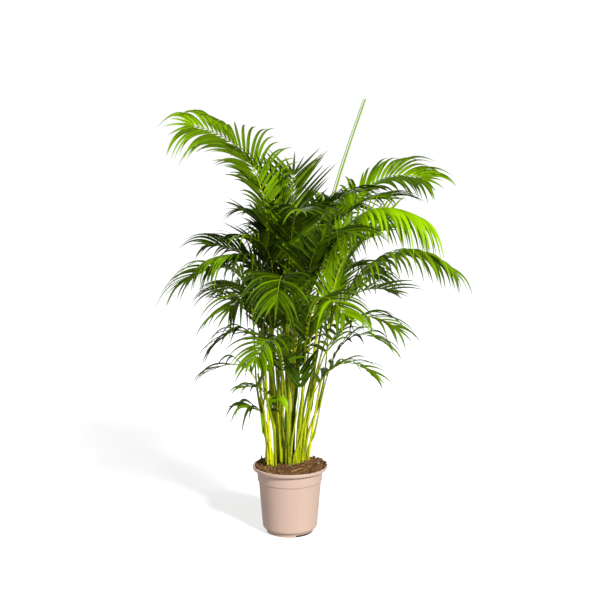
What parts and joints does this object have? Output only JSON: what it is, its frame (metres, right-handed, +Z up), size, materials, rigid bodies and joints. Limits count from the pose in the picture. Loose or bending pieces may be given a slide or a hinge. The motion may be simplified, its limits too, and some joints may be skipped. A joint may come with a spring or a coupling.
{
  "type": "potted palm",
  "caption": "Clump of slender canes with arching feather fronds and an unopened spear leaf, growing from potting mix in a round tapered nursery pot.",
  "frame": {"origin": "on the pot's axis, on the surface that the pot's foot stands on; the palm leans and spreads unevenly, so the origin is not the middle of the whole box", "axes": "+Z up along the pot's axis, +X to the right and -Y towards the viewer in the front view"},
  "size_m": [1.0651, 1.0277, 1.5322],
  "materials": {
    "pot": "satin dusty pink-taupe moulded plastic",
    "potting_mix": "loose crumbly brown bark and coir",
    "cane": "smooth waxy yellow-green living stem with ringed nodes",
    "leaf": "glossy ribbed green leaf",
    "young_leaf": "smooth folded yellow-green leaf",
    "dry_stem": "dry fibrous brown"
  },
  "bodies": {
    "root": {"cane_01": "cane", "cane_02": "cane", "cane_03": "cane", "cane_04": "cane", "cane_05": "cane", "cane_06": "cane", "cane_07": "cane", "cane_08": "cane", "cane_09": "cane", "cane_10": "cane", "cane_11": "cane", "cane_12": "cane", "cane_13": "cane", "cane_14": "cane", "dry_stub": "dry_stem", "frond_01": "leaf", "frond_02": "leaf", "frond_03": "leaf", "frond_04": "leaf", "frond_05": "leaf", "frond_06": "leaf", "frond_07": "leaf", "frond_08": "leaf", "frond_09": "leaf", "frond_10": "leaf", "frond_11": "leaf", "frond_12": "leaf", "frond_13": "leaf", "frond_14": "leaf", "frond_15": "leaf", "frond_16": "leaf", "frond_17": "leaf", "frond_18": "leaf", "frond_19": "leaf", "frond_20": "leaf", "frond_21": "leaf", "frond_22": "leaf", "frond_23": "leaf", "frond_24": "leaf", "frond_25": "leaf", "frond_26": "leaf", "frond_27": "leaf", "frond_28": "leaf", "frond_29": "leaf", "frond_30": "leaf", "frond_31": "leaf", "frond_32": "leaf", "frond_33": "leaf", "frond_34": "leaf", "frond_35": "leaf", "frond_36": "leaf", "frond_37": "leaf", "frond_38": "leaf", "frond_39": "leaf", "pot": "pot", "soil": "potting_mix", "spear_leaf": "young_leaf"}
  },
  "joints": []
}
